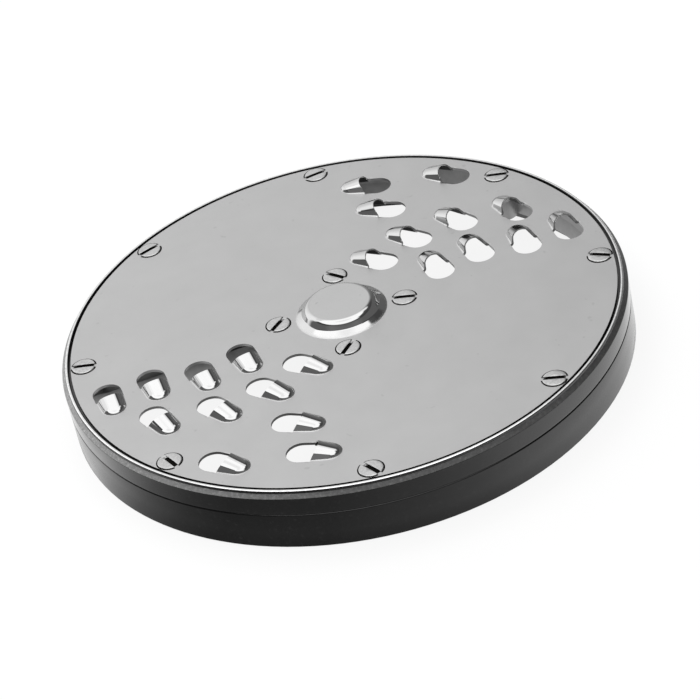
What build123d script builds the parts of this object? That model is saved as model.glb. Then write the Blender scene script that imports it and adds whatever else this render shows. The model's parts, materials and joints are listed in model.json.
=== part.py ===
"""Grating disc for a vegetable cutter: a pressed steel plate screwed into a two-part round carrier.

Millimetres, +Z up. The origin is the centre of the carrier's foot, so the disc stands on Z = 0.
"""
import os
from math import atan2, cos, radians, sin, sqrt

from build123d import *

# Carrier and rim ring
RIM_DIAMETER = 201.5
SEAM_HEIGHT = 13.7  # joint between the carrier and the rim ring
SEAM_CHAMFER = 0.4
FOOT_CHAMFER = 0.4
RING_WALL = 6.25  # wall of both rings below the plate
SKIRT_WALL = 1.5  # thin wall of the carrier below its arms
LAND_WIDTH = 3.15  # crowned land round the plate
LAND_RISE = 0.2  # crown of the land above the plate's face
LAND_INNER_ROUND = 1.1
RIM_ROUND = 1.9  # round from the land into the wall

# Arms and hub of the carrier
ARM_COUNT = 4
ARM_WIDTH = 12.0
ARM_UNDERSIDE = 13.0  # at the hub; the arms slope down from there to the lugs
LUG_UNDERSIDE = 6.0
ARM_ROOT_ROUND = 5.0
HUB_RADIUS = 13.5
HUB_UNDERSIDE = 2.0
HUB_ROUND = 1.0
BORE_RADIUS = 9.5
BORE_DEPTH = 14.5
DRIVE_SLOT_WIDTH = 6.0
DRIVE_SLOT_DEPTH = 6.0

# Grating plate
PLATE_FACE = 22.5  # height of the plate's top face
SHEET = 1.0
PLATE_GAP = 0.4  # clearance between the plate's edge and the land
PLATE_EDGE_ROUND = 0.3
DOME_BASE_RADIUS = 15.7
DOME_TOP_RADIUS = 12.0
DOME_HEIGHT = 4.7
DOME_SHOULDER_ROUND = 3.4
DOME_BASE_ROUND = 0.5

# Slotted countersunk screws
RIM_SCREW_COUNT = 8
RIM_SCREW_EDGE = 4.7  # screw axis from the plate's edge
RIM_SCREW_LENGTH = 14.0
HUB_SCREW_COUNT = 4
HUB_SCREW_RADIUS = 22.6
HUB_SCREW_LENGTH = 10.0
SCREW_SHANK_RADIUS = 2.5
SCREW_HEAD_RADIUS = 4.2
SCREW_PROUD = 0.5  # head above the plate's face
SCREW_TIP_CHAMFER = 0.6
SCREW_SLOT_WIDTH = 1.1
SCREW_SLOT_DEPTH = 1.0
HEAD_CLEARANCE = 0.05
THREAD_CLEARANCE = 0.05
PLATE_HOLE_CLEARANCE = 0.25
DIMPLE_CLEARANCE = 0.1  # pressed dimple in its countersink
LUG_RADIUS = 6.0
RIM_SLOT_TURNS = [-25, -10, 17, 30, -9, -60, -54, -12]
HUB_SLOT_TURNS = [-11, -41, 52, 56]

# Teeth: a hole with a pressed scoop behind it, on concentric tracks
TOOTH_HOLE_WIDTH = 10.2
TOOTH_HOLE_SIDE = 4.0  # straight side between the round front and the scoop's corners
SCOOP_WIDTH = 10.6
SCOOP_HEIGHT = 3.8
SCOOP_LENGTH = 7.7  # crest to tail
SCOOP_WALL = 0.8
MOUTH_LEAN = 2.5  # crest set back from the corners of the mouth
INNER_TRACK_RADIUS = 31.0
OUTER_TRACK_EDGE = 10.2  # outermost track from the plate's edge
GROUP_COUNT = 2
TOOTH_ANGLES = [  # degrees, one row for each track, innermost first
    [53.8], [17.7], [47.1], [17.9], [38.3, 66.5], [12.8], [28.5, 74.0], [12.6, 54.2],
]

CUT_MARGIN = 1.0  # how far a cut runs past the face that it leaves

# Sizes that follow from those above
RIM_RADIUS = RIM_DIAMETER / 2
RIM_TOP = PLATE_FACE + LAND_RISE
LEDGE = PLATE_FACE - SHEET
RING_INNER_RADIUS = RIM_RADIUS - RING_WALL
LAND_INNER_RADIUS = RIM_RADIUS - LAND_WIDTH
PLATE_RADIUS = LAND_INNER_RADIUS - PLATE_GAP
RIM_SCREW_RADIUS = PLATE_RADIUS - RIM_SCREW_EDGE
OUTER_TRACK_RADIUS = PLATE_RADIUS - OUTER_TRACK_EDGE
TRACK_PITCH = (OUTER_TRACK_RADIUS - INNER_TRACK_RADIUS) / (len(TOOTH_ANGLES) - 1)
HEAD_TOP = PLATE_FACE + SCREW_PROUD
PLATE_HOLE_RADIUS = SCREW_SHANK_RADIUS + PLATE_HOLE_CLEARANCE
DIMPLE_RADIUS = SCREW_HEAD_RADIUS - SCREW_PROUD + HEAD_CLEARANCE  # at the plate's face
DIMPLE_UNDER_RADIUS = DIMPLE_RADIUS + SHEET * (sqrt(2) - 1)  # at the plate's underside


def screw_places(count, radius, height):
    """Places of a circle of screws at one height."""
    places = []
    for k in range(count):
        angle = radians(k * 360 / count)
        places.append(Location((radius * cos(angle), radius * sin(angle), height)))
    return places


def cone(top_radius, end_radius, top):
    """Right-angled countersink cone that narrows downwards from its top."""
    depth = top_radius - end_radius
    middle = Location((0, 0, top - depth / 2))
    return middle * Cone(end_radius, top_radius, depth)


def shaft(radius, top, bottom):
    """Round bar from top to bottom."""
    return Location((0, 0, (top + bottom) / 2)) * Cylinder(radius, top - bottom)


def all_screw_places(height):
    """Places of every screw at one height."""
    rim = screw_places(RIM_SCREW_COUNT, RIM_SCREW_RADIUS, height)
    hub = screw_places(HUB_SCREW_COUNT, HUB_SCREW_RADIUS, height)
    return rim + hub


def near(vertices, x, y):
    """The vertex of an outline that lies closest to a point."""
    return min(vertices, key=lambda v: (v.X - x) ** 2 + (v.Y - y) ** 2)


def dimple_seat():
    """Countersink that takes one of the plate's dimples, with its top on Z = 0."""
    return cone(DIMPLE_UNDER_RADIUS + DIMPLE_CLEARANCE, PLATE_HOLE_RADIUS, 0)


def make_rim_ring():
    """Upper ring: land, ledge for the plate and a lug under each rim screw."""
    outline = make_face(Polyline(
        (RING_INNER_RADIUS, SEAM_HEIGHT),
        (RIM_RADIUS, SEAM_HEIGHT),
        (RIM_RADIUS, RIM_TOP),
        (LAND_INNER_RADIUS, RIM_TOP),
        (LAND_INNER_RADIUS, LEDGE),
        (RING_INNER_RADIUS, LEDGE),
        close=True,
    ))
    outline = fillet(near(outline.vertices(), RIM_RADIUS, RIM_TOP), RIM_ROUND)
    outline = fillet(near(outline.vertices(), LAND_INNER_RADIUS, RIM_TOP), LAND_INNER_ROUND)
    outline = chamfer(near(outline.vertices(), RIM_RADIUS, SEAM_HEIGHT), SEAM_CHAMFER)
    ring = revolve(Plane.XZ * outline, Axis.Z)
    places = screw_places(RIM_SCREW_COUNT, RIM_SCREW_RADIUS, LEDGE)
    lug = shaft(LUG_RADIUS, 0, SEAM_HEIGHT - LEDGE)
    hole = dimple_seat() + shaft(PLATE_HOLE_RADIUS, 0, SEAM_HEIGHT - LEDGE)
    ring = ring + [place * lug for place in places]
    return ring - [place * hole for place in places]


def carrier_plan():
    """Plan of the carrier: ring, arms, hub and the lugs between the arms."""
    ring = Circle(RIM_RADIUS) - Circle(RING_INNER_RADIUS)
    reach = RING_INNER_RADIUS + RING_WALL / 2  # arms end inside the ring's wall
    arms = [
        Rot(0, 0, k * 360 / ARM_COUNT) * Pos(reach / 2, 0) * Rectangle(reach, ARM_WIDTH)
        for k in range(ARM_COUNT)
    ]
    plan = ring + arms + Circle(HUB_RADIUS)
    roots = [v for v in plan.vertices() if Vector(v).length < reach]
    plan = fillet(roots, ARM_ROOT_ROUND)
    lugs = screw_places(RIM_SCREW_COUNT, RIM_SCREW_RADIUS, 0)
    return plan + [place * Circle(LUG_RADIUS) for place in lugs]


def make_carrier():
    """Lower ring with arms and hub, blind drive bore and drive-pin slot."""
    hub_seat = HUB_SCREW_RADIUS + LUG_RADIUS
    lug_seat = RIM_SCREW_RADIUS - LUG_RADIUS
    envelope = make_face(Polyline(
        (0, HUB_UNDERSIDE),
        (HUB_RADIUS, HUB_UNDERSIDE),
        (HUB_RADIUS, ARM_UNDERSIDE),
        (lug_seat, LUG_UNDERSIDE),
        (RIM_RADIUS - SKIRT_WALL, LUG_UNDERSIDE),
        (RIM_RADIUS - SKIRT_WALL, 0),
        (RIM_RADIUS, 0),
        (RIM_RADIUS, SEAM_HEIGHT),
        (lug_seat, SEAM_HEIGHT),
        (hub_seat, LEDGE),
        (0, LEDGE),
        close=True,
    ))
    envelope = chamfer(near(envelope.vertices(), RIM_RADIUS, 0), FOOT_CHAMFER)
    envelope = chamfer(near(envelope.vertices(), RIM_RADIUS, SEAM_HEIGHT), SEAM_CHAMFER)
    envelope = fillet(near(envelope.vertices(), HUB_RADIUS, HUB_UNDERSIDE), HUB_ROUND)
    body = extrude(carrier_plan(), RIM_TOP) & revolve(Plane.XZ * envelope, Axis.Z)
    bore = shaft(BORE_RADIUS, HUB_UNDERSIDE + BORE_DEPTH, 0)
    slot_middle = HUB_UNDERSIDE + DRIVE_SLOT_DEPTH / 2
    slot = Pos(0, 0, slot_middle) * Box(2 * HUB_RADIUS, DRIVE_SLOT_WIDTH, DRIVE_SLOT_DEPTH)
    body = body - [bore, slot]
    seat = dimple_seat()
    hub_places = screw_places(HUB_SCREW_COUNT, HUB_SCREW_RADIUS, LEDGE)
    body = body - [place * seat for place in hub_places]
    thread = shaft(SCREW_SHANK_RADIUS + THREAD_CLEARANCE, RIM_TOP, 0)
    return body - [place * thread for place in all_screw_places(0)]


def sheet_inside(point, tilt, next_tilt):
    """Corner on the sheet's underside, below a corner on top where its tilt changes."""
    middle = (tilt + next_tilt) / 2
    reach = SHEET / cos((next_tilt - tilt) / 2)
    return (point[0] - reach * sin(middle), point[1] - reach * cos(middle))


def plate_blank():
    """Turned sheet with the hollow dome at its middle and a rounded edge."""
    top = (DOME_TOP_RADIUS, PLATE_FACE + DOME_HEIGHT)
    base = (DOME_BASE_RADIUS, PLATE_FACE)
    flank = atan2(DOME_HEIGHT, DOME_BASE_RADIUS - DOME_TOP_RADIUS)
    inner_top = sheet_inside(top, 0, flank)
    inner_base = sheet_inside(base, flank, 0)
    outline = make_face(Polyline(
        (0, LEDGE + DOME_HEIGHT),
        inner_top,
        inner_base,
        (PLATE_RADIUS, LEDGE),
        (PLATE_RADIUS, PLATE_FACE),
        base,
        top,
        (0, PLATE_FACE + DOME_HEIGHT),
        close=True,
    ))
    rounds = [
        (top, DOME_SHOULDER_ROUND),
        (base, DOME_BASE_ROUND),
        (inner_top, DOME_SHOULDER_ROUND - SHEET),
        (inner_base, DOME_BASE_ROUND + SHEET),
        ((PLATE_RADIUS, PLATE_FACE), PLATE_EDGE_ROUND),
    ]
    for corner, radius in rounds:
        outline = fillet(near(outline.vertices(), *corner), radius)
    return revolve(Plane.XZ * outline, Axis.Z)


# A scoop is part of an egg that lies along the cut, with its axis under the plate's face
SCOOP_RADIUS = ((SCOOP_WIDTH / 2) ** 2 + SCOOP_HEIGHT ** 2) / (2 * SCOOP_HEIGHT)
SCOOP_AXIS = SCOOP_HEIGHT - SCOOP_RADIUS
SCOOP_REACH = SCOOP_LENGTH / sqrt(1 - (SCOOP_AXIS / SCOOP_RADIUS) ** 2)
CREST = -TOOTH_HOLE_SIDE - MOUTH_LEAN


def egg(reach, radius):
    """Egg along X, centred under the crest of a scoop, its seam on the hidden side."""
    half = EllipticalCenterArc((CREST, SCOOP_AXIS), reach, radius, start_angle=180, arc_size=180)
    section = make_face([half, Line(half @ 1, half @ 0)])
    return revolve(Plane.XZ * section, Axis((0, 0, SCOOP_AXIS), (1, 0, 0)))


def scoop_shell():
    """Outside of one scoop, cut off along the leaning mouth. X points the way the tooth cuts."""
    slope = MOUTH_LEAN / SCOOP_HEIGHT
    top = SCOOP_HEIGHT + CUT_MARGIN
    tail = CREST - SCOOP_REACH - CUT_MARGIN
    side = make_face(Polyline(
        (tail, -SHEET),
        (-TOOTH_HOLE_SIDE + slope * SHEET, -SHEET),
        (-TOOTH_HOLE_SIDE - slope * top, top),
        (tail, top),
        close=True,
    ))
    behind_mouth = extrude(Plane.XZ * side, SCOOP_WIDTH, both=True)
    return egg(SCOOP_REACH, SCOOP_RADIUS) & behind_mouth


def tooth_void():
    """Hole in front of the scoop and the hollow under it."""
    side = Pos(-TOOTH_HOLE_SIDE / 2, 0) * Rectangle(TOOTH_HOLE_SIDE, TOOTH_HOLE_WIDTH)
    plan = side + Circle(TOOTH_HOLE_WIDTH / 2)
    hole = extrude(Pos(0, 0, -SHEET - CUT_MARGIN) * plan, SHEET + 2 * CUT_MARGIN)
    return hole + egg(SCOOP_REACH - SCOOP_WALL, SCOOP_RADIUS - SCOOP_WALL)


def tooth_places():
    """Tooth places on the plate's face: X along the clockwise cut, Y outwards."""
    places = []
    for group in range(GROUP_COUNT):
        for track, angles in enumerate(TOOTH_ANGLES):
            radius = INNER_TRACK_RADIUS + track * TRACK_PITCH
            for turn in angles:
                angle = turn + group * 360 / GROUP_COUNT
                spot = (radius * cos(radians(angle)), radius * sin(radians(angle)), PLATE_FACE)
                places.append(Location(spot, (0, 0, angle - 90)))
    return places


def make_grating_plate():
    """Sheet with its teeth and dimpled screw holes."""
    screws = all_screw_places(PLATE_FACE)
    dimple = cone(DIMPLE_UNDER_RADIUS, PLATE_HOLE_RADIUS, -SHEET)
    sink = cone(DIMPLE_RADIUS, PLATE_HOLE_RADIUS, 0)
    hole = shaft(PLATE_HOLE_RADIUS, 0, -DIMPLE_UNDER_RADIUS)
    shell = scoop_shell()
    void = tooth_void()
    places = tooth_places()
    plate = plate_blank() + [place * dimple for place in screws] + [place * shell for place in places]
    return plate - [place * (sink + hole) for place in screws] - [place * void for place in places]


def make_screw(length):
    """Slotted countersunk screw, head up, with its head's face on Z = 0."""
    screw = cone(SCREW_HEAD_RADIUS, SCREW_SHANK_RADIUS, 0) + shaft(SCREW_SHANK_RADIUS, 0, -length)
    tip = screw.edges().sort_by(Axis.Z)[0]
    screw = chamfer(tip, SCREW_TIP_CHAMFER)
    across = 2 * (SCREW_HEAD_RADIUS + CUT_MARGIN)
    return screw - Box(across, SCREW_SLOT_WIDTH, 2 * SCREW_SLOT_DEPTH)


def screw_circle(count, radius, length, turns):
    """A circle of like screws, each turned as it was left by the screwdriver."""
    screw = make_screw(length)
    screws = []
    for k, place in enumerate(screw_places(count, radius, HEAD_TOP)):
        screws.append(place * Rot(0, 0, turns[k % len(turns)]) * screw)
    return Compound(screws)


def main():
    os.makedirs("parts", exist_ok=True)
    nodes = {
        "grating_plate": make_grating_plate(),
        "rim_ring": make_rim_ring(),
        "carrier": make_carrier(),
        "rim_screws": screw_circle(RIM_SCREW_COUNT, RIM_SCREW_RADIUS, RIM_SCREW_LENGTH, RIM_SLOT_TURNS),
        "hub_screws": screw_circle(HUB_SCREW_COUNT, HUB_SCREW_RADIUS, HUB_SCREW_LENGTH, HUB_SLOT_TURNS),
    }
    for name, shape in nodes.items():
        export_step(shape, f"parts/{name}.step")
        print(name, len(shape.solids()), "solids", round(shape.volume), "mm3")


main()
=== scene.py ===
# %% [markdown]
# # A grating disc for a vegetable cutter
#
# The real disc is a thin pressed sheet of stainless steel, full of scoop-shaped teeth, screwed into a
# turned ring. The CAD frame gives every place and size. This script dresses it: the sheet, the ring,
# the carrier and the screws get fine meshes, and the metal gets a studio to reflect.

# %% Load the frame
import json
from math import cos, degrees, hypot, pi, radians, sin

import bpy
from mathutils import Matrix, Vector

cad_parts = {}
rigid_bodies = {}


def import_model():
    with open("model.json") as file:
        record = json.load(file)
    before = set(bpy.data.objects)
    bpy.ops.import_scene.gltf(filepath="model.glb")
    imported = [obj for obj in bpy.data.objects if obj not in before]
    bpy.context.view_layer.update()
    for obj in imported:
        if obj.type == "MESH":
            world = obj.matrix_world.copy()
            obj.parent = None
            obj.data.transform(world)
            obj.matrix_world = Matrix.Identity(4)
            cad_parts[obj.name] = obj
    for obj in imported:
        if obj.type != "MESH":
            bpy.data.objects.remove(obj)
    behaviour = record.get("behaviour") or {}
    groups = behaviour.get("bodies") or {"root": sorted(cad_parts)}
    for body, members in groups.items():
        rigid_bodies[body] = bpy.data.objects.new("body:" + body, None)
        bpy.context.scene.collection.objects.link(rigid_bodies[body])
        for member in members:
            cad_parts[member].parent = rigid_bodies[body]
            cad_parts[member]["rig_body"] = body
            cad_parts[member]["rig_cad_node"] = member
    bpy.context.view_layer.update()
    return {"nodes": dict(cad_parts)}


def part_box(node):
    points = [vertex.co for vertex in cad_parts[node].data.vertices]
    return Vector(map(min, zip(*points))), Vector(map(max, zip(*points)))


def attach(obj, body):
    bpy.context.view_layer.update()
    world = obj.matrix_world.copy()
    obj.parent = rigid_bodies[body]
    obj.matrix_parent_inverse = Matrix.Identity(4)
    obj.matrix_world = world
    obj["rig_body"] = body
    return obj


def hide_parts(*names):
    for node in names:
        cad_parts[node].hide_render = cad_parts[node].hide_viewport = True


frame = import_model()
print("nodes:", sorted(frame["nodes"]))

# %% [markdown]
# ## Sizes
#
# Blender works in metres and a disc is measured in millimetres, so every size is written in millimetres
# and multiplied by MM. The sizes that the frame can tell are read from its boxes.

# %% Sizes
MM = 0.001
PLATE_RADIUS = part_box("grating_plate")[1].x / MM
RIM_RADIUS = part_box("rim_ring")[1].x / MM
RIM_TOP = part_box("rim_ring")[1].z / MM
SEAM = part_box("rim_ring")[0].z / MM
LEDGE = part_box("carrier")[1].z / MM
HEAD_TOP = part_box("rim_screws")[1].z / MM
SHEET = 1.0
FACE = LEDGE + SHEET
SAME = 0.001  # points closer than this count as one
print("plate radius %.2f, rim radius %.2f, face at %.2f mm" % (PLATE_RADIUS, RIM_RADIUS, FACE))

# %% [markdown]
# ## Selecting and drawing
#
# Operators act on whatever is selected, so each step clears the selection before it starts. Outlines
# and sections are drawn as by hand: one vertex is set down and extruded from point to point.

# %% Select and draw
def clear_selection():
    """Leave edit mode and deselect everything."""
    if bpy.context.object and bpy.context.object.mode != "OBJECT":
        bpy.ops.object.mode_set(mode="OBJECT")
    bpy.ops.object.select_all(action="DESELECT")


def activate(piece):
    """Make a piece the only one that is selected."""
    clear_selection()
    bpy.context.view_layer.objects.active = piece
    piece.select_set(True)
    return piece


def draw_line(name, points):
    """An open line of edges through points in millimetres."""
    clear_selection()
    bpy.ops.mesh.primitive_plane_add(size=MM)
    piece = bpy.context.object
    piece.name = name
    bpy.ops.object.mode_set(mode="EDIT")
    bpy.ops.mesh.select_mode(type="VERT")
    bpy.ops.mesh.select_all(action="SELECT")
    bpy.ops.mesh.merge(type="CENTER")
    here = Vector((0, 0, 0))
    for i, point in enumerate(points):
        there = Vector(point) * MM
        if i == 0:
            bpy.ops.transform.translate(value=there - here)
        else:
            bpy.ops.mesh.extrude_vertices_move(TRANSFORM_OT_translate={"value": there - here})
        here = there
    bpy.ops.object.mode_set(mode="OBJECT")
    return piece


# %% [markdown]
# ## One tooth
#
# On the real plate each tooth is a hole with a scoop pressed up behind it. The press stretches the
# sheet over a round-backed punch, so across the cut the scoop is a wide arch with short steep sides and
# a soft bend at the foot. A sphere would be too round. Here the foot's outline, a long U, is drawn
# first and then extruded upwards ring by ring, each ring smaller, along that section.

# %% Arcs of a section
def upright(r, z):
    """A point of a section: r from the axis, z high."""
    return Vector((r, 0, z))


def arc_line(start, arcs):
    """Points from (r, z) outwards and down along arcs, each a radius and its tilt at both ends.

    Tilts are in degrees. A negative radius bends the line back up, like the foot of a dome.
    """
    r, z = start
    points = [upright(r, z)]
    for radius, first, last in arcs:
        steps = max(2, round(abs(last - first) / 4))
        for k in range(1, steps + 1):
            t = radians(first + (last - first) * k / steps)
            dr = radius * (sin(t) - sin(radians(first)))
            dz = radius * (cos(radians(first)) - cos(t))
            points.append(upright(r + dr, z - dz))
        r, z = points[-1].x, points[-1].z
    return points


# %% Section and outline of the scoop
CREST_ROUND = (4.6, 0, 46)
SHOULDER = (1.6, 46, 61)
SIDE = (92.0, 61, 62)
FOOT_BEND = (-0.6, 62, 0)
FOOT_FLAT = 0.12  # flat sheet left round the bend
SKIRT = 1.18  # a wider flat skirt, as a share of the outline
HALF_WIDTH = 4.85
TAIL_CENTRE = -9.7
TAIL = -14.2
LEG_END = 900.0  # far past the mouth, where the scoop is cut off
ROUND_STEPS = 24  # edges in a half circle

section = arc_line((0, 0), [CREST_ROUND, SHOULDER, SIDE, FOOT_BEND])
TOOTH_HEIGHT = -section[-1].z
profile = [(SKIRT, 0), ((section[-1].x + FOOT_FLAT) / HALF_WIDTH, 0)]
for point in reversed(section[1:]):
    profile.append((point.x / HALF_WIDTH, point.z + TOOTH_HEIGHT))
outline = [(LEG_END, HALF_WIDTH, 0)]
for k in range(ROUND_STEPS + 1):
    a = radians(90 + 180 * k / ROUND_STEPS)
    outline.append((TAIL_CENTRE - (TAIL - TAIL_CENTRE) * cos(a), HALF_WIDTH * sin(a), 0))
outline.append((LEG_END, -HALF_WIDTH, 0))
print("tooth %.2f mm high, %d rings" % (TOOTH_HEIGHT, len(profile)))

# %% [markdown]
# The rings draw in towards a point near the tail, so the scoop ends in a short steep slope there. The
# mouth is a slanted cut: its foot lies further forward than its crest.

# %% Raise the scoop and cut its mouth
TAIL_PIVOT = -12.9
MOUTH_FOOT = -4.0
CREST = -6.5
scoop = draw_line("scoop", outline)
bpy.ops.object.mode_set(mode="EDIT")
bpy.ops.mesh.select_all(action="SELECT")
last_share, last_z = 1, 0
for i, (share, z) in enumerate(profile):
    if i:
        bpy.ops.mesh.extrude_edges_move(TRANSFORM_OT_translate={"value": (0, 0, (z - last_z) * MM)})
    shrink = share / last_share
    bpy.ops.transform.resize(value=(shrink, shrink, 1), center_override=(TAIL_PIVOT * MM, 0, z * MM))
    last_share, last_z = share, z
bpy.ops.mesh.edge_face_add()
lean = Vector((TOOTH_HEIGHT, 0, MOUTH_FOOT - CREST)).normalized()
bpy.ops.mesh.select_all(action="SELECT")
bpy.ops.mesh.bisect(plane_co=(MOUTH_FOOT * MM, 0, 0), plane_no=lean, clear_outer=True, threshold=1e-7)
bpy.ops.object.mode_set(mode="OBJECT")
print("scoop:", len(scoop.data.polygons), "faces")

# %% [markdown]
# The tunnel is lower and narrower at its tail. Two Simple Deform tapers do that: one for the height and
# a gentler one for the width. They work from the object's origin, so the crest is moved there first.

# %% Taper the scoop towards its tail
NARROWING = 0.016  # of the width, for each millimetre
FALLING = 0.105  # of the height, for each millimetre


def apply_modifier(piece, kind, **settings):
    """Add one modifier with its settings and apply it."""
    activate(piece)
    modifier = piece.modifiers.new(kind.title(), kind)
    for name, value in settings.items():
        setattr(modifier, name, value)
    bpy.ops.object.modifier_apply(modifier=modifier.name)


scoop.location.x = -CREST * MM
activate(scoop)
bpy.ops.object.transform_apply(location=True)
length = max(v.co.x for v in scoop.data.vertices) - min(v.co.x for v in scoop.data.vertices)
for rate, keep in ((NARROWING, "lock_z"), (FALLING, "lock_y")):
    apply_modifier(scoop, "SIMPLE_DEFORM", deform_method="TAPER", deform_axis="X",
                   factor=rate * length / MM, **{keep: True})
scoop.location.x = CREST * MM
bpy.ops.object.transform_apply(location=True)
print("crest %.2f mm high" % (max(v.co.z for v in scoop.data.vertices) / MM))

# %% [markdown]
# The hole in front of the mouth starts and ends where the bend meets the mouth. Its outline is extruded
# from that corner: short sides that swing in or out, and a round front.

# %% Pick by place and face outwards
def pick(piece, kind, test):
    """Select, in edit mode, the vertices or the edges of a piece that pass a test in millimetres."""
    bpy.ops.object.mode_set(mode="EDIT")
    bpy.ops.mesh.select_mode(type=kind)
    bpy.ops.mesh.select_all(action="DESELECT")
    bpy.ops.object.mode_set(mode="OBJECT")
    mesh = piece.data
    if kind == "VERT":
        for vertex in mesh.vertices:
            vertex.select = test(vertex.co / MM)
    else:
        for edge in mesh.edges:
            edge.select = test(edge, *(mesh.vertices[i].co / MM for i in edge.vertices))
    bpy.ops.object.mode_set(mode="EDIT")


def face_outwards(piece):
    """Turn every face of a piece outwards."""
    activate(piece)
    bpy.ops.object.mode_set(mode="EDIT")
    bpy.ops.mesh.select_all(action="SELECT")
    bpy.ops.mesh.normals_make_consistent(inside=False)
    bpy.ops.object.mode_set(mode="OBJECT")


# %% Draw the outline of the hole
HOLE_RADIUS = 5.1
WELD = 0.002  # vertices closer than this are merged
foot = [v.co / MM for v in scoop.data.vertices if abs(v.co.z) < SAME * MM]
ends = [p for p in foot if p.x > MOUTH_FOOT - 0.05]
corner = min((p for p in ends if p.y > 0), key=lambda p: p.y)
hole = []
for t in (0.25, 0.5, 0.75):
    ease = 3 * t * t - 2 * t * t * t
    hole.append(((1 - t) * corner.x, corner.y + (HOLE_RADIUS - corner.y) * ease))
for k in range(ROUND_STEPS + 1):
    a = radians(90 - 180 * k / ROUND_STEPS)
    hole.append((HOLE_RADIUS * cos(a), HOLE_RADIUS * sin(a)))
for x, y in reversed(hole[:3]):
    hole.append((x, -y))
hole.append((corner.x, -corner.y))
pick(scoop, "VERT", lambda p: (p - corner).length < SAME)
here = corner
for x, y in hole:
    there = Vector((x, y, 0))
    bpy.ops.mesh.extrude_vertices_move(TRANSFORM_OT_translate={"value": (there - here) * MM})
    here = there
bpy.ops.mesh.select_all(action="SELECT")
bpy.ops.mesh.remove_doubles(threshold=WELD * MM)
bpy.ops.object.mode_set(mode="OBJECT")
face_outwards(scoop)
print("one tooth:", len(scoop.data.polygons), "faces, corner at", [round(c, 2) for c in corner])

# %% [markdown]
# ## Dome and screw dimples
#
# The middle of the plate is pressed up into a flat-topped dome, and every screw sits in a pressed
# dimple. Both are round, so a line is drawn for each and spun round the disc's axis. A narrow strip
# along the plate's outer edge is made the same way.

# %% Spin a line and round a corner
def spin(piece, steps):
    """Spin a line round the disc's axis into a skin."""
    activate(piece)
    bpy.ops.object.mode_set(mode="EDIT")
    bpy.ops.mesh.select_all(action="SELECT")
    bpy.ops.mesh.spin(steps=steps, angle=2 * pi, center=(0, 0, 0), axis=(0, 0, 1))
    bpy.ops.mesh.select_all(action="SELECT")
    bpy.ops.mesh.remove_doubles(threshold=SAME * MM)
    bpy.ops.object.mode_set(mode="OBJECT")
    return piece


def round_corner(before, corner, after, radius, steps):
    """Points of an arc that rounds the corner of a line, each given as (r, z)."""
    c = upright(*corner)
    a = (upright(*before) - c).normalized()
    b = (upright(*after) - c).normalized()
    half = a.angle(b) / 2
    middle = c + (a + b).normalized() * radius / sin(half)
    start = c + a * radius / (sin(half) / cos(half)) - middle
    end = c + b * radius / (sin(half) / cos(half)) - middle
    sweep = start.angle(end)
    points = []
    for i in range(steps + 1):
        t = i / steps
        arm = (start * sin((1 - t) * sweep) + end * sin(t * sweep)) / sin(sweep)
        points.append(middle + arm)
    return points


# %% Spin the dome, one dimple and the edge strip
DOME_TOP = 10.4
DOME_SHOULDER = (3.0, 0, 56)
DOME_UPPER_SLOPE = (80.0, 56, 57)
DOME_WAIST = (-1.2, 57, 31)
DOME_LOWER_SLOPE = (145.0, 31, 32)
DOME_FOOT = (-0.4, 32, 0)
DOME_FLANGE = 17.2
dome_line = arc_line(
    (DOME_TOP, 0), [DOME_SHOULDER, DOME_UPPER_SLOPE, DOME_WAIST, DOME_LOWER_SLOPE, DOME_FOOT])
dome_height = -dome_line[-1].z
dome_line = [upright(0, dome_height)] + [p + upright(0, dome_height) for p in dome_line]
dome_line += [upright(DOME_FLANGE, 0)]
dome = spin(draw_line("dome", dome_line), 128)

DIMPLE_FLANGE = 4.3
DIMPLE_EDGE = 3.75
BOLT_HOLE = 2.75
DIMPLE_DEPTH = 1.0
dimple_line = [upright(DIMPLE_FLANGE, 0)]
dimple_line += round_corner((DIMPLE_FLANGE, 0), (DIMPLE_EDGE, 0), (BOLT_HOLE, -DIMPLE_DEPTH), 0.3, 4)
dimple_line += [upright(BOLT_HOLE, -DIMPLE_DEPTH)]
dimple = spin(draw_line("dimple", dimple_line), 48)

EDGE_STRIP = 0.12
strip_line = [upright(PLATE_RADIUS - EDGE_STRIP, 0), upright(PLATE_RADIUS, 0)]
edge_strip = spin(draw_line("edge_strip", strip_line), 256)
print("dome %.2f mm high, %d faces; dimple %d faces" % (
    dome_height, len(dome.data.polygons), len(dimple.data.polygons)))

# %% [markdown]
# ## The plate
#
# The teeth stand in two like groups on eight tracks. Each copy is turned so that its mouth faces
# clockwise. A dimple goes wherever a screw does.

# %% Copy, place and join
def copy_piece(piece, name):
    """A copy with its own mesh."""
    twin = piece.copy()
    twin.data = piece.data.copy()
    twin.name = name
    bpy.context.scene.collection.objects.link(twin)
    return twin


def place(piece, x, y, z, turn):
    """Put a piece at a place, turned in degrees about the upright axis, and apply that to its mesh."""
    activate(piece)
    piece.location = Vector((x, y, z)) * MM
    piece.rotation_euler = (0, 0, radians(turn))
    bpy.ops.object.transform_apply(location=True, rotation=True, scale=True)
    return piece


def join(pieces, name):
    """Join pieces into one object."""
    clear_selection()
    for piece in pieces:
        piece.select_set(True)
    bpy.context.view_layer.objects.active = pieces[0]
    bpy.ops.object.join()
    pieces[0].name = name
    return pieces[0]


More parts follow.
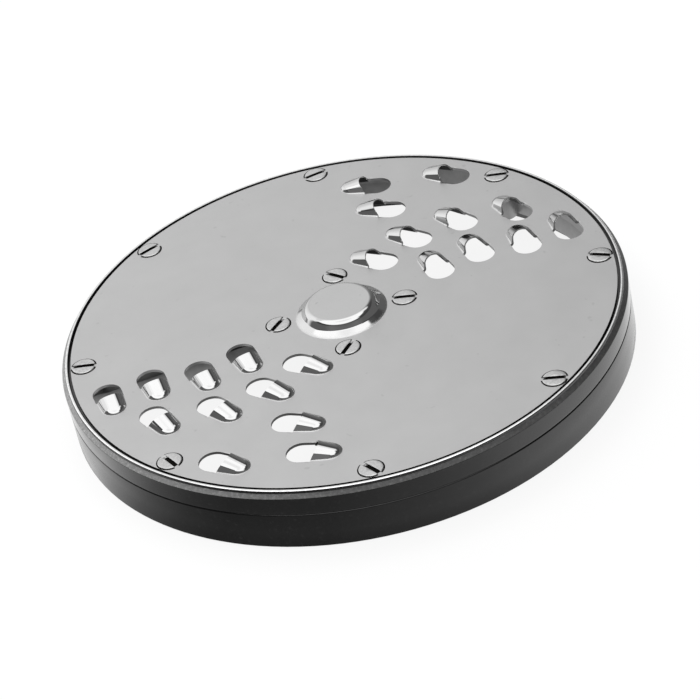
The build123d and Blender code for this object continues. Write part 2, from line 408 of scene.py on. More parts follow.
# %% Set the teeth, the dimples and the dome on the plate
TOOTH_ANGLES = [[53.8], [17.7], [47.1], [17.9], [38.3, 66.5], [12.8], [28.5, 74.0], [12.6, 54.2]]
INNER_TRACK = 31.0
OUTER_TRACK = PLATE_RADIUS - 10.2
RIM_SCREW_CIRCLE = PLATE_RADIUS - 4.7
RIM_SCREWS = 8
HUB_SCREW_CIRCLE = 22.6
HUB_SCREWS = 4
track_pitch = (OUTER_TRACK - INNER_TRACK) / (len(TOOTH_ANGLES) - 1)
patches = [place(edge_strip, 0, 0, FACE, 0), place(dome, 0, 0, FACE, 0)]
for half_turn in (0, 180):
    for track, angles in enumerate(TOOTH_ANGLES):
        for angle in angles:
            a = radians(angle + half_turn)
            r = INNER_TRACK + track * track_pitch
            tooth = copy_piece(scoop, "tooth")
            patches.append(place(tooth, r * cos(a), r * sin(a), FACE, degrees(a) - 90))
for count, r in ((RIM_SCREWS, RIM_SCREW_CIRCLE), (HUB_SCREWS, HUB_SCREW_CIRCLE)):
    for k in range(count):
        a = 2 * pi * k / count
        patches.append(place(copy_piece(dimple, "dimple"), r * cos(a), r * sin(a), FACE, 0))
plate = join(patches, "pressed_plate")
bpy.data.objects.remove(scoop)
bpy.data.objects.remove(dimple)
print("patches on the plate:", len(patches))

# %% [markdown]
# What is left is the flat sheet between them. The open edges that lie in its plane are selected
# together and filled. The fill leaves the holes open, because their outlines lie inside the outer edge.

# %% Fill the flat sheet
FLAT = 0.0004  # the first ring of a bend lies only a little more than this off the plane
faces_at = {}
for face in plate.data.polygons:
    for key in face.edge_keys:
        faces_at[key] = faces_at.get(key, 0) + 1


def bounds_the_sheet(edge, a, b):
    """Whether an edge is open, lies in the sheet's plane and isn't the plate's own rim."""
    flat = abs(a.z - FACE) < FLAT and abs(b.z - FACE) < FLAT
    outer = hypot(a.x, a.y) > PLATE_RADIUS - 0.05
    return flat and not outer and faces_at.get(tuple(sorted(edge.vertices)), 0) < 2


before = len(plate.data.polygons)
pick(plate, "EDGE", bounds_the_sheet)
bpy.ops.mesh.fill(use_beauty=True)
face_outwards(plate)
if sum(face.normal.z * face.area for face in plate.data.polygons) < 0:
    plate.data.flip_normals()
print("faces added:", len(plate.data.polygons) - before)

# %% [markdown]
# Solidify gives the skin its thickness, downwards. A real press stretches the sheet, so a vertex group
# thins it towards the crest of a tooth. A small bevel breaks the edges, as deburring does.

# %% Give the sheet its thickness and break its edges
THINNED = 0.5  # share of the sheet's thickness that the press leaves at a tooth's crest
DOME_CLEAR = 18.0  # whatever stands up outside this radius is a tooth


def smooth(piece, angle):
    """Smooth shading, with a crease wherever two faces meet at more than an angle."""
    activate(piece)
    bpy.ops.object.shade_smooth_by_angle(angle=radians(angle))


sheet_group = plate.vertex_groups.new(name="sheet")
for vertex in plate.data.vertices:
    rise = (vertex.co.z / MM - FACE) / TOOTH_HEIGHT
    on_tooth = hypot(vertex.co.x, vertex.co.y) / MM > DOME_CLEAR
    stretch = min(max(rise * 2, 0), 1) if on_tooth else 0
    sheet_group.add([vertex.index], 1 - (1 - THINNED) * stretch, "REPLACE")
apply_modifier(plate, "SOLIDIFY", thickness=SHEET * MM, offset=-1, use_even_offset=False,
               use_quality_normals=True, vertex_group="sheet")
apply_modifier(plate, "BEVEL", width=0.1 * MM, segments=2, limit_method="ANGLE", angle_limit=radians(50))
smooth(plate, 35)
apply_modifier(plate, "WEIGHTED_NORMAL", mode="FACE_AREA", weight=100, keep_sharp=True)
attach(plate, "root")
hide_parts("grating_plate")
print("plate faces:", len(plate.data.polygons))

# %% [markdown]
# ## The rim ring
#
# The ring was turned on a lathe: a ledge for the plate, a bead that frames it, a bevel and a plain outer
# wall, with a rounded lower edge that makes the seam. A spin of its section is just what the lathe did.

# %% Spin the ring
RING_INNER = RIM_RADIUS - 6.25
BEAD_INNER = PLATE_RADIUS + 0.85
BEAD_OUTER = BEAD_INNER + 1.25
BEVEL_TOP = RIM_TOP - 1.05
BEVEL_FOOT = RIM_TOP - 2.25
SEAM_BAND = 0.9  # a short band of wall above the seam
BEAD_ROUND = 0.45
NECK_ROUND = 0.12
BEVEL_ROUND = 0.5
SEAM_ROUND = 0.6
bead = [(BEAD_INNER, LEDGE), (BEAD_INNER, RIM_TOP), (BEAD_OUTER, RIM_TOP), (BEAD_OUTER, BEVEL_TOP)]
wall = [(RIM_RADIUS, BEVEL_FOOT), (RIM_RADIUS, SEAM), (RING_INNER, SEAM)]
corners = bead + wall
ring_line = [upright(RING_INNER, SEAM), upright(RING_INNER, LEDGE), upright(PLATE_RADIUS - 0.05, LEDGE)]
ring_line += [upright(BEAD_INNER, LEDGE)]
for k, radius, steps in ((1, BEAD_ROUND, 6), (2, BEAD_ROUND, 6), (3, NECK_ROUND, 3), (4, BEVEL_ROUND, 5)):
    ring_line += round_corner(corners[k - 1], corners[k], corners[k + 1], radius, steps)
ring_line += [upright(RIM_RADIUS, SEAM + SEAM_BAND)]
ring_line += round_corner(corners[4], corners[5], corners[6], SEAM_ROUND, 5)
ring_line += [ring_line[0]]
ring = spin(draw_line("turned_ring", ring_line), 256)
face_outwards(ring)
print("ring faces:", len(ring.data.polygons))

# %% [markdown]
# Under each rim screw the ring has a lug with a countersunk hole. The lugs and the drills are spun bars,
# added and taken away by Booleans. They stop just short of the ring's faces, or go well past them,
# because a Boolean does badly where two faces lie in one plane.

# %% Add the lugs and drill them
LUG_RADIUS = 6.0
COUNTERSINK = 2.2
SHORT = 0.004


def bars(name, radius, top, bottom, flare=0.0):
    """Upright bars at the rim's screws, with a flared top if one is asked for."""
    made = []
    for k in range(RIM_SCREWS):
        a = 2 * pi * k / RIM_SCREWS
        line = [upright(0, top), upright(radius + flare, top)]
        if flare:
            line.append(upright(radius, top - flare))
        line += [upright(radius, bottom), upright(0, bottom)]
        bar = spin(draw_line(name, line), 48)
        made.append(place(bar, RIM_SCREW_CIRCLE * cos(a), RIM_SCREW_CIRCLE * sin(a), 0, 0))
    piece = join(made, name)
    face_outwards(piece)
    return piece


lugs = bars("lugs", LUG_RADIUS, LEDGE - SHORT, SEAM + SHORT)
apply_modifier(ring, "BOOLEAN", operation="UNION", solver="EXACT", object=lugs)
drills = bars("drills", BOLT_HOLE, LEDGE + 0.05, SEAM - 1, flare=COUNTERSINK)
apply_modifier(ring, "BOOLEAN", operation="DIFFERENCE", solver="EXACT", object=drills)
bpy.data.objects.remove(lugs)
bpy.data.objects.remove(drills)
smooth(ring, 35)
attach(ring, "root")
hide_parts("rim_ring")
print("ring with lugs:", len(ring.data.polygons), "faces")

# %% [markdown]
# ## The carrier
#
# The carrier's arms, hub and drive bore are all plain machined shapes, and the frame's own solid has
# them right. A copy of its mesh is merged, its edges are broken and it is shaded smooth.

# %% Copy the carrier
carrier = copy_piece(frame["nodes"]["carrier"], "cast_carrier")
activate(carrier)
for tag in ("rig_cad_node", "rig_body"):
    if tag in carrier:
        del carrier[tag]
carrier.parent = None
bpy.ops.object.mode_set(mode="EDIT")
bpy.ops.mesh.select_all(action="SELECT")
bpy.ops.mesh.remove_doubles(threshold=WELD * MM)
bpy.ops.mesh.dissolve_limited(angle_limit=radians(0.4))
bpy.ops.object.mode_set(mode="OBJECT")
apply_modifier(carrier, "BEVEL", width=0.25 * MM, segments=2, limit_method="ANGLE", angle_limit=radians(40))
smooth(carrier, 30)
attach(carrier, "root")
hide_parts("carrier")
print("carrier faces:", len(carrier.data.polygons))

# %% [markdown]
# ## Colours and nodes
#
# Colours are written as sRGB hex values and turned to linear light by one function. One small function
# adds a node, sets it and links it. A ramp takes hex colours, or plain levels where it drives a
# roughness, a brightness or a factor.

# %% Colour and node helpers
def colour(code):
    """Linear colour from a hex value."""
    parts = [int(code[i:i + 2], 16) / 255 for i in (1, 3, 5)]
    linear = [c / 12.92 if c <= 0.04045 else ((c + 0.055) / 1.055) ** 2.4 for c in parts]
    return (*linear, 1)


def add_node(tree, kind, inputs=None, **settings):
    """Add a node, set its properties and give each input a value or a link."""
    node = tree.nodes.new(kind)
    for name, value in settings.items():
        setattr(node, name, value)
    for name, value in (inputs or {}).items():
        if isinstance(value, bpy.types.NodeSocket):
            tree.links.new(value, node.inputs[name])
        else:
            node.inputs[name].default_value = value
    return node


def new_material(name):
    """An empty material, with its nodes and its Object coordinates."""
    material = bpy.data.materials.new(name)
    material.use_nodes = True
    tree = material.node_tree
    tree.nodes.clear()
    where = add_node(tree, "ShaderNodeTexCoord").outputs["Object"]
    return material, tree, where


def ramp(tree, value, stops):
    """A colour ramp over 0 to 1, of hex colours or of levels."""
    node = add_node(tree, "ShaderNodeValToRGB", {"Fac": value})
    elements = node.color_ramp.elements
    while len(elements) < len(stops):
        elements.new(0.5)
    for element, (position, level) in zip(elements, stops):
        element.position = position
        element.color = colour(level) if isinstance(level, str) else (level, level, level, 1)
    return node.outputs["Color"]


# %% [markdown]
# ## Screws
#
# Slotted countersunk screws hold the plate. They are stainless, polished by the tumbler and scuffed
# since, and they mirror almost clearly. The slots and a thin collar round the heads are near black:
# dried food and painted shade, where the slot and the gap round each head lie in shadow.

# %% Polished screw steel and the dark fill round the heads, residue with painted shade
screw_steel, tree, where = new_material("polished_stainless")
scuffs = add_node(tree, "ShaderNodeTexNoise", {"Vector": where, "Scale": 1 / (0.8 * MM), "Detail": 3.0})
tone = ramp(tree, scuffs.outputs["Fac"], [(0.35, "#BCBCBC"), (0.65, "#CECECE")])
gloss = ramp(tree, scuffs.outputs["Fac"], [(0.3, 0.14), (0.7, 0.24)])
metal = add_node(tree, "ShaderNodeBsdfPrincipled", {"Base Color": tone, "Metallic": 1.0, "Roughness": gloss})
add_node(tree, "ShaderNodeOutputMaterial", {"Surface": metal.outputs["BSDF"]})

# Near-black rough fill for the slots and the gap round the heads: partly residue, partly painted shade.
residue_and_shade, tree, where = new_material("residue_and_painted_shade")
dark_fill = add_node(tree, "ShaderNodeBsdfPrincipled", {
    "Base Color": colour("#141312"), "Roughness": 1.0, "Specular IOR Level": 0.0})
add_node(tree, "ShaderNodeOutputMaterial", {"Surface": dark_fill.outputs["BSDF"]})
print("screw finishes:", screw_steel.name, residue_and_shade.name)

# %% [markdown]
# One screw is spun from its side view: a low crown, a rounded edge, a thin dark collar of residue and
# painted shade in the gap, the countersunk cone and a plain shank. A Boolean cuts the slot and a bevel breaks
# its edges.

# %% Model one screw
CROWN = [(0, -0.06), (2.0, -0.08), (3.0, -0.11)]
HEAD_RADIUS = 4.2
HEAD_DEPTH = 0.5
DARK_COLLAR_RADIUS = 4.65
SHANK_RADIUS = 2.5
TIP_RADIUS = 1.9
TIP_LENGTH = 0.6
SLOT_WIDTH = 1.6
SLOT_DEPTH = 1.0


def make_screw(length):
    """One screw, with the top of its head at the origin's height."""
    line = [upright(*point) for point in CROWN]
    line += round_corner(CROWN[-1], (HEAD_RADIUS, -0.14), (HEAD_RADIUS, -HEAD_DEPTH), 0.3, 5)
    line += [upright(DARK_COLLAR_RADIUS, 0.035 - HEAD_DEPTH), upright(DARK_COLLAR_RADIUS, 0.01 - HEAD_DEPTH)]
    line += [upright(DARK_COLLAR_RADIUS - 1, -HEAD_DEPTH), upright(SHANK_RADIUS, -HEAD_DEPTH - 1.15)]
    line += [upright(SHANK_RADIUS, TIP_LENGTH - length), upright(TIP_RADIUS, -length), upright(0, -length)]
    screw = spin(draw_line("screw", line), 64)
    for material in (screw_steel, residue_and_shade):
        screw.data.materials.append(material)
    clear_selection()
    bpy.ops.mesh.primitive_cube_add(size=1, scale=(12 * MM, SLOT_WIDTH * MM, 2 * SLOT_DEPTH * MM))
    blade = bpy.context.object
    bpy.ops.object.transform_apply(location=True, rotation=True, scale=True)
    face_outwards(screw)
    apply_modifier(screw, "BOOLEAN", operation="DIFFERENCE", solver="EXACT", object=blade)
    bpy.data.objects.remove(blade)
    apply_modifier(screw, "BEVEL", width=0.06 * MM, segments=2, limit_method="ANGLE", angle_limit=radians(40))
    # The slot faces and the collar round the head get the dark fill, residue with painted shade.
    for face in screw.data.polygons:
        middle = face.center / MM
        in_slot = abs(middle.y) < SLOT_WIDTH / 2 + 0.02 and -1.2 < middle.z < -0.3
        round_head = HEAD_RADIUS + 0.01 < hypot(middle.x, middle.y) < DARK_COLLAR_RADIUS + 0.05
        face.material_index = int(in_slot or round_head)
    return screw


# %% [markdown]
# The copies keep the turns, in degrees, in which the screwdriver left them.

# %% Set the screws in the plate
RIM_TURNS = [-25, -10, 17, 30, -9, -60, -54, -12]
HUB_TURNS = [-11, -41, 52, 56]
for name, node, circle, turns in (
        ("rim_screw_set", "rim_screws", RIM_SCREW_CIRCLE, RIM_TURNS),
        ("hub_screw_set", "hub_screws", HUB_SCREW_CIRCLE, HUB_TURNS)):
    screw = make_screw(HEAD_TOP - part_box(node)[0].z / MM)
    made = []
    for k, turn in enumerate(turns):
        a = 2 * pi * k / len(turns)
        made.append(place(copy_piece(screw, name), circle * cos(a), circle * sin(a), HEAD_TOP, turn))
    bpy.data.objects.remove(screw)
    screw_set = join(made, name)
    smooth(screw_set, 35)
    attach(screw_set, "root")
    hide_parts(node)
    print(name, len(turns), "screws,", len(screw_set.data.polygons), "faces")

# %% [markdown]
# ## Finishes
#
# The plate is cold-rolled stainless sheet with a mill finish: a grey metal that mirrors softly, with
# faint cloudy patches and a few specks. Use has polished whatever stands up, so the teeth and the dome
# are smoother: a Map Range on the height tells them from the flat sheet.

# %% Stainless sheet
sheet_steel, tree, where = new_material("stainless_sheet")
clouds = add_node(tree, "ShaderNodeTexNoise", {
    "Vector": where, "Scale": 1 / (14 * MM), "Detail": 4.0, "Roughness": 0.6}).outputs["Fac"]
specks = add_node(tree, "ShaderNodeTexNoise", {"Vector": where, "Scale": 1 / (3.0 * MM), "Detail": 1.0})
speck = ramp(tree, specks.outputs["Fac"], [(0.0, 1.0), (0.74, 1.0), (0.8, 0.9), (1.0, 0.88)])
tone = ramp(tree, clouds, [(0.3, "#BDBDBD"), (0.7, "#C1C1C1")])
tint = add_node(tree, "ShaderNodeMix", {
    "Factor": 1.0, "A": tone, "B": speck}, data_type="RGBA", blend_type="MULTIPLY")
height = add_node(tree, "ShaderNodeSeparateXYZ", {"Vector": where}).outputs["Z"]
raised = add_node(tree, "ShaderNodeMapRange", {
    "Value": height, "From Min": (FACE + 0.1) * MM, "From Max": (FACE + 0.6) * MM}).outputs["Result"]
satin = ramp(tree, clouds, [(0.3, 0.33), (0.7, 0.38)])
gloss = add_node(tree, "ShaderNodeMix", {
    "Factor": raised, "A": satin, "B": (0.07, 0.07, 0.07, 1)}, data_type="RGBA")
grain = add_node(tree, "ShaderNodeTexNoise", {"Vector": where, "Scale": 1 / (0.9 * MM), "Detail": 2.0})
relief = add_node(tree, "ShaderNodeBump", {
    "Height": grain.outputs["Fac"], "Strength": 0.03, "Distance": 0.02 * MM})
steel = add_node(tree, "ShaderNodeBsdfPrincipled", {
    "Base Color": tint.outputs["Result"], "Metallic": 1.0, "Roughness": gloss.outputs["Result"],
    "Normal": relief.outputs["Normal"]})
add_node(tree, "ShaderNodeOutputMaterial", {"Surface": steel.outputs["BSDF"]})
print("flat and raised steel:", sheet_steel.name)

# %% [markdown]
# Inside the scoops and on its cut edge the sheet gets a dull, dark, mottled colour: painted shade,
# where the scoops' undersides and the groove at the plate's edge lie in shadow.
# Those faces are found by their place and their normal.

# %% Sheet with painted shade
sheet_shade_steel, tree, where = new_material("stainless_sheet_painted_shade")
shade_mottle = add_node(tree, "ShaderNodeTexNoise", {"Vector": where, "Scale": 1 / (2.0 * MM), "Detail": 3.0})
tone = ramp(tree, shade_mottle.outputs["Fac"], [(0.3, "#1D1D1D"), (0.7, "#303030")])
metal = add_node(tree, "ShaderNodeBsdfPrincipled", {"Base Color": tone, "Metallic": 0.7, "Roughness": 0.5})
add_node(tree, "ShaderNodeOutputMaterial", {"Surface": metal.outputs["BSDF"]})
plate.data.materials.clear()
for material in (sheet_steel, sheet_shade_steel):
    plate.data.materials.append(material)
# Faces under the scoops and on the plate's edge take the painted shade.
for face in plate.data.polygons:
    r = hypot(face.center.x, face.center.y) / MM
    inside = face.normal.z < -0.1 and face.center.z / MM > FACE - 0.9 and r > DOME_CLEAR
    edge = r > PLATE_RADIUS - 0.02
    face.material_index = int(edge or inside)
print("stained faces:", sum(face.material_index for face in plate.data.polygons))

# %% [markdown]
# The ring and carrier are aluminium. Their outer wall is anodised black: a hard clear oxide, dyed, that
# is glossy and keeps fine lathe lines and a little dust.

# %% Black anodised wall
black_wall, tree, where = new_material("black_anodised_aluminium")
dust = add_node(tree, "ShaderNodeTexNoise", {"Vector": where, "Scale": 1 / (1.4 * MM), "Detail": 3.0})
black = ramp(tree, dust.outputs["Fac"], [(0.3, "#070707"), (0.62, "#0D0D0D"), (0.72, "#1D1D1D")])
lathe = add_node(tree, "ShaderNodeMapping", {"Vector": where, "Scale": (2.0, 2.0, 400.0)})
lines = add_node(tree, "ShaderNodeTexNoise", {"Vector": lathe.outputs["Vector"], "Scale": 6.0, "Detail": 3.0})
gloss = ramp(tree, lines.outputs["Fac"], [(0.3, 0.12), (0.7, 0.2)])
coat = add_node(tree, "ShaderNodeBsdfPrincipled", {"Base Color": black, "Roughness": gloss, "IOR": 1.5})
add_node(tree, "ShaderNodeOutputMaterial", {"Surface": coat.outputs["BSDF"]})
print("wall:", black_wall.name)

# %% [markdown]
# The bead round the plate is turned bright, and everything inside is plain machined metal, duller and
# greyer. Both are bare aluminium and differ only in how the tool left them.

# %% Bright bead and plain machined metal
bright_bead, tree, where = new_material("bright_turned_aluminium")
wear = add_node(tree, "ShaderNodeTexNoise", {"Vector": where, "Scale": 1 / (1.2 * MM), "Detail": 3.0})
tone = ramp(tree, wear.outputs["Fac"], [(0.35, "#DDDDDD"), (0.6, "#EFEFEF")])
gloss = ramp(tree, wear.outputs["Fac"], [(0.3, 0.2), (0.7, 0.12)])
metal = add_node(tree, "ShaderNodeBsdfPrincipled", {"Base Color": tone, "Metallic": 1.0, "Roughness": gloss})
add_node(tree, "ShaderNodeOutputMaterial", {"Surface": metal.outputs["BSDF"]})

plain_metal, tree, where = new_material("machined_aluminium")
mill = add_node(tree, "ShaderNodeTexNoise", {"Vector": where, "Scale": 1 / (3.0 * MM), "Detail": 4.0})
tone = ramp(tree, mill.outputs["Fac"], [(0.3, "#A2A2A2"), (0.7, "#B5B5B5")])
gloss = ramp(tree, mill.outputs["Fac"], [(0.3, 0.34), (0.7, 0.46)])
metal = add_node(tree, "ShaderNodeBsdfPrincipled", {"Base Color": tone, "Metallic": 1.0, "Roughness": gloss})
add_node(tree, "ShaderNodeOutputMaterial", {"Surface": metal.outputs["BSDF"]})
print("bare metal:", bright_bead.name, plain_metal.name)

# %% [markdown]
# On the bevel the black coat has worn through, with a fine mottle of bare metal over it. Its tone
# also falls from left to right: painted light and shade, lighter on the left of the disc, darker on the
# right.

# %% Worn bevel with painted light and shade from left to right
worn_edge_and_shade, tree, where = new_material("worn_anodised_painted_shade")
wear = add_node(tree, "ShaderNodeTexNoise", {
    "Vector": where, "Scale": 1 / (1.0 * MM), "Detail": 4.0, "Roughness": 0.65})
bare = ramp(tree, wear.outputs["Fac"], [(0.35, 0.75), (0.55, 1.0), (0.7, 1.6)])
# Painted light and shade: the tone follows the side of the disc, lighter on the left.
side = add_node(tree, "ShaderNodeSeparateXYZ", {"Vector": where}).outputs["X"]
side = add_node(tree, "ShaderNodeMapRange", {
    "Value": side, "From Min": -RIM_RADIUS * MM, "From Max": RIM_RADIUS * MM}).outputs["Result"]
painted_side_tone = ramp(tree, side, [
    (0.0, "#959595"), (0.25, "#7C7C7C"), (0.45, "#595959"), (0.8, "#505050"), (1.0, "#383838")])
tone = add_node(tree, "ShaderNodeMix", {
    "Factor": 1.0, "A": painted_side_tone, "B": bare}, data_type="RGBA", blend_type="MULTIPLY")
metal = add_node(tree, "ShaderNodeBsdfPrincipled", {
    "Base Color": tone.outputs["Result"], "Metallic": 0.3, "Roughness": 0.5})
add_node(tree, "ShaderNodeOutputMaterial", {"Surface": metal.outputs["BSDF"]})
print("bevel:", worn_edge_and_shade.name)

# %% [markdown]
# The four finishes go on face by face. The groove between plate and bead is coloured black as painted
# shade, then come the bead, the bevel and the wall.

# %% Lay the finishes on the ring and the carrier
PLAIN, BLACK, BRIGHT, WORN_SHADED = range(4)
WALL_DEPTH = 1.6  # the coat goes round the wall's edges this far


def finish_of(r, z, outward):
    """The finish at a radius and a height, on a face that looks outwards by a share of 1."""
    # Black in the groove between plate and bead is painted shade.
    groove = PLATE_RADIUS - 0.05 < r < BEAD_INNER + 0.4 and z > LEDGE - 0.1
    if groove and (outward < -0.3 or z < LEDGE + 0.1):
        return BLACK
    if BEAD_INNER - 0.05 < r < BEAD_OUTER and z > LEDGE and outward < 0.75:
        return BRIGHT
    if r > BEAD_OUTER and z > BEVEL_FOOT - 0.1 and 0.3 < outward < 0.9:
        return WORN_SHADED
    return BLACK if r > RIM_RADIUS - WALL_DEPTH else PLAIN


for piece in (ring, carrier):
    piece.data.materials.clear()
    for material in (plain_metal, black_wall, bright_bead, worn_edge_and_shade):
        piece.data.materials.append(material)
    for face in piece.data.polygons:
        middle = face.center / MM
        r = hypot(middle.x, middle.y)
        outward = (face.normal.x * middle.x + face.normal.y * middle.y) / r
        face.material_index = finish_of(r, middle.z, outward)
    print(piece.name, [sum(f.material_index == k for f in piece.data.polygons) for k in range(4)])

# %% [markdown]
# ## Floor
#
# The ground is plain white. The floor is white to the camera, and a share of it is
# ordinary diffuse white, which keeps a soft shadow. Mirrored in the wall it carries painted light and
# shade: a painted shadow under and close to the disc, darkest a little left of the front, and painted
# light that is brightest to the right. From below it is clear and lets the underside be seen.

# %% Painted shadow and light on the floor as the wall mirrors it
floor_white, tree, where = new_material("white_paper")
away = add_node(tree, "ShaderNodeVectorMath", {0: where}, operation="LENGTH").outputs["Value"]
away = add_node(tree, "ShaderNodeMapRange", {"Value": away, "From Max": 250 * MM}).outputs["Result"]
# Painted shadow: the mirrored floor is darker under and close to the disc.
near = ramp(tree, away, [(0.0, 0.35), (0.36, 0.35), (0.4, 0.6), (0.43, 1.0)])
heading = add_node(tree, "ShaderNodeVectorMath", {0: where}, operation="NORMALIZE").outputs["Vector"]
heading = add_node(tree, "ShaderNodeSeparateXYZ", {"Vector": heading}).outputs["X"]
heading = add_node(tree, "ShaderNodeMapRange", {
    "Value": heading, "From Min": -1.0, "From Max": 1.0}).outputs["Result"]
# Painted light and shade by side: darkest a little left of the front, brightest to the right.
lit = ramp(tree, heading, [
    (0.0, 1.35), (0.02, 1.55), (0.045, 1.2), (0.09, 0.68), (0.15, 0.37), (0.22, 0.27), (0.31, 0.33),
    (0.4, 0.36), (0.5, 0.53), (0.6, 0.7), (0.69, 0.96), (0.78, 1.4), (0.86, 1.6), (1.0, 1.5)])
shade = add_node(tree, "ShaderNodeMix", {
    "Factor": 1.0, "A": near, "B": lit}, data_type="RGBA", blend_type="MULTIPLY").outputs["Result"]
mirrored = add_node(tree, "ShaderNodeEmission", {"Color": shade, "Strength": 1.0})
print("floor shade from left to right in", len(tree.nodes), "nodes")

# %% Lay the white floor
glow = add_node(tree, "ShaderNodeEmission", {"Color": colour("#FFFFFF"), "Strength": 1.0})
paper = add_node(tree, "ShaderNodeBsdfDiffuse", {"Color": colour("#F4F4F4")})
mixed = add_node(tree, "ShaderNodeMixShader", {
    "Fac": 0.12, 1: glow.outputs["Emission"], 2: paper.outputs["BSDF"]})
path = add_node(tree, "ShaderNodeLightPath").outputs["Is Glossy Ray"]
shown = add_node(tree, "ShaderNodeMixShader", {
    "Fac": path, 1: mixed.outputs["Shader"], 2: mirrored.outputs["Emission"]})
clear = add_node(tree, "ShaderNodeBsdfTransparent")
below = add_node(tree, "ShaderNodeNewGeometry").outputs["Backfacing"]
sided = add_node(tree, "ShaderNodeMixShader", {
    "Fac": below, 1: shown.outputs["Shader"], 2: clear.outputs["BSDF"]})
add_node(tree, "ShaderNodeOutputMaterial", {"Surface": sided.outputs["Shader"]})
clear_selection()
bpy.ops.mesh.primitive_plane_add(size=6.0, location=(0, 0, -0.05 * MM))
floor = bpy.context.object
floor.name = "floor"
floor.data.materials.append(floor_white)
print("floor:", tuple(round(d, 2) for d in floor.dimensions), "m")

# %% [markdown]
# ## Studio
#
# Metal shows what stands round it. A white canopy hangs over the disc, a pale sweep lies behind it, a
# bright panel stands on the left, and the right side and the room behind the camera are dark. The world
# paints that room by direction, so that no panel has to be built. To the camera it is plain white.

# %% Turn and rise of a direction
world = bpy.data.worlds.new("studio")
bpy.context.scene.world = world
world.use_nodes = True
tree = world.node_tree
tree.nodes.clear()
direction = add_node(tree, "ShaderNodeTexCoord").outputs["Generated"]
axes = add_node(tree, "ShaderNodeSeparateXYZ", {"Vector": direction})
turn = add_node(tree, "ShaderNodeMath", {
    0: axes.outputs["X"], 1: axes.outputs["Y"]}, operation="ARCTAN2").outputs[0]
turn = add_node(tree, "ShaderNodeMapRange", {
    "Value": turn, "From Min": -pi, "From Max": pi}).outputs["Result"]
rise = add_node(tree, "ShaderNodeMath", {0: axes.outputs["Z"]}, operation="ARCSINE").outputs[0]
rise = add_node(tree, "ShaderNodeMath", {0: rise, 1: 180 / pi}, operation="MULTIPLY").outputs[0]
print("world:", world.name)

# %% [markdown]
# Four bands of the room lie one above the other, with the canopy and the top of the room over them. Each
# is a ramp round the horizon: a turn in degrees from the far side, positive to the right, and the
# brightness there.

# %% Bands of the room
HORIZON = [(-180, 0.1), (-75, 0.1), (-60, 0.3), (-45, 0.6), (-28, 0.6), (-18, 0.15), (180, 0.1)]
LOW = [
    (-180, 0.26), (-140, 0.26), (-120, 0.18), (-78, 0.18), (-66, 1.5), (-45, 1.5), (-34, 1.35), (-20, 1.08),
    (-13, 0.92), (-8, 0.94), (0, 0.97), (3, 0.76), (6, 0.56), (11, 0.4), (20, 0.24), (30, 0.18), (120, 0.18),
    (140, 0.26), (180, 0.26)]
MIDDLE = [
    (-180, 0.16), (-140, 0.16), (-120, 0.08), (-82, 0.08), (-72, 1.5), (-45, 1.5), (-34, 1.4), (-20, 1.12),
    (-13, 0.96), (-8, 0.98), (0, 1.0), (4, 0.92), (9, 0.76), (13, 0.55), (22, 0.22), (32, 0.1), (120, 0.08),
    (140, 0.16), (180, 0.16)]
SHELF = [
    (-180, 1.9), (-66, 1.9), (-58, 1.2), (-10, 1.15), (20, 1.5), (44, 1.5), (56, 0.12), (112, 0.12),
    (122, 1.9), (180, 1.9)]
CANOPY = (1.85, 1.85, 1.85, 1)
TOP = (1.55, 1.55, 1.55, 1)
bands = []
for stops in (HORIZON, LOW, MIDDLE, SHELF):
    bands.append(ramp(tree, turn, [((angle + 180) / 360, level) for angle, level in stops]))
print("studio:", len(bands), "bands under the canopy")


# %% Blend the bands and light the world
def blend(below, above, start, end):
    """Go over from one band to the next between two heights in degrees."""
    share = add_node(tree, "ShaderNodeMapRange", {
        "Value": rise, "From Min": start, "From Max": end}, interpolation_type="SMOOTHSTEP")
    node = add_node(tree, "ShaderNodeMix", {
        "Factor": share.outputs["Result"], "A": below, "B": above}, data_type="RGBA")
    return node.outputs["Result"]


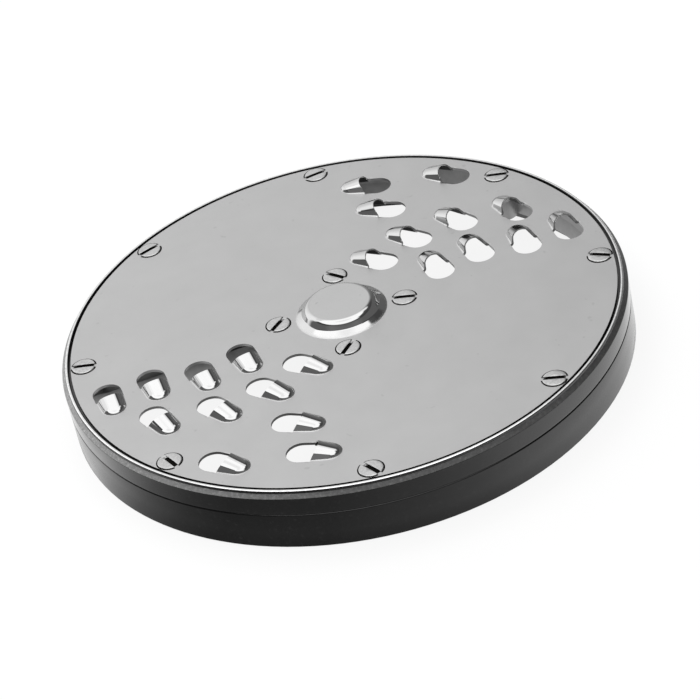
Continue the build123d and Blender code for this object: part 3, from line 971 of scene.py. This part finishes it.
room = blend(bands[0], bands[1], 1.0, 6.0)
room = blend(room, bands[2], 30.0, 36.0)
room = blend(room, bands[3], 46.0, 51.0)
room = blend(room, CANOPY, 56.0, 60.0)
room = blend(room, TOP, 74.0, 84.0)
studio = add_node(tree, "ShaderNodeBackground", {"Color": room, "Strength": 1.0})
white = add_node(tree, "ShaderNodeBackground", {"Color": colour("#FFFFFF"), "Strength": 1.0})
seen = add_node(tree, "ShaderNodeLightPath").outputs["Is Camera Ray"]
shown = add_node(tree, "ShaderNodeMixShader", {
    "Fac": seen, 1: studio.outputs["Background"], 2: white.outputs["Background"]})
add_node(tree, "ShaderNodeOutputWorld", {"Surface": shown.outputs["Shader"]})
print("world nodes:", len(tree.nodes))

# %% [markdown]
# One large lamp behind and to the left gives the soft shadow under the rim. The metal doesn't mirror it,
# because the room already holds its reflections.

# %% Soft lamp for the shadow
lamp = bpy.data.lights.new("soft_box", "AREA")
lamp.shape = "RECTANGLE"
lamp.size = 0.9
lamp.size_y = 0.6
lamp.energy = 6.0
soft_box = bpy.data.objects.new("soft_box", lamp)
bpy.context.scene.collection.objects.link(soft_box)
soft_box.location = (-0.35, 0.55, 1.15)
soft_box.rotation_euler = (Vector((0, 0, 0)) - soft_box.location).to_track_quat("-Z", "Y").to_euler()
soft_box.visible_glossy = False
print("soft box at", [round(c, 2) for c in soft_box.location])

# %% [markdown]
# ## Camera
#
# The disc was photographed from a metre away with a long lens, about 35 degrees up, and the camera was
# rolled, which makes the disc look tipped. The place, the aim and the roll are all that is needed.

# %% Camera
LENS = 151.8
ROLL = -12.906
eye = Vector((18.59, -854.93, 604.06)) * MM
aim = Vector((0.443, -24.348, 22.5)) * MM
data = bpy.data.cameras.new("camera")
data.lens = LENS
data.sensor_width = 36.0
data.clip_start = 0.01
camera = bpy.data.objects.new("camera", data)
bpy.context.scene.collection.objects.link(camera)
look = (aim - eye).to_track_quat("-Z", "Y").to_matrix() @ Matrix.Rotation(radians(ROLL), 3, "Z")
camera.matrix_world = Matrix.Translation(eye) @ look.to_4x4()
bpy.context.scene.camera = camera
bpy.context.scene.view_settings.view_transform = "Standard"
print("camera:", round((aim - eye).length, 3), "m from the aim")
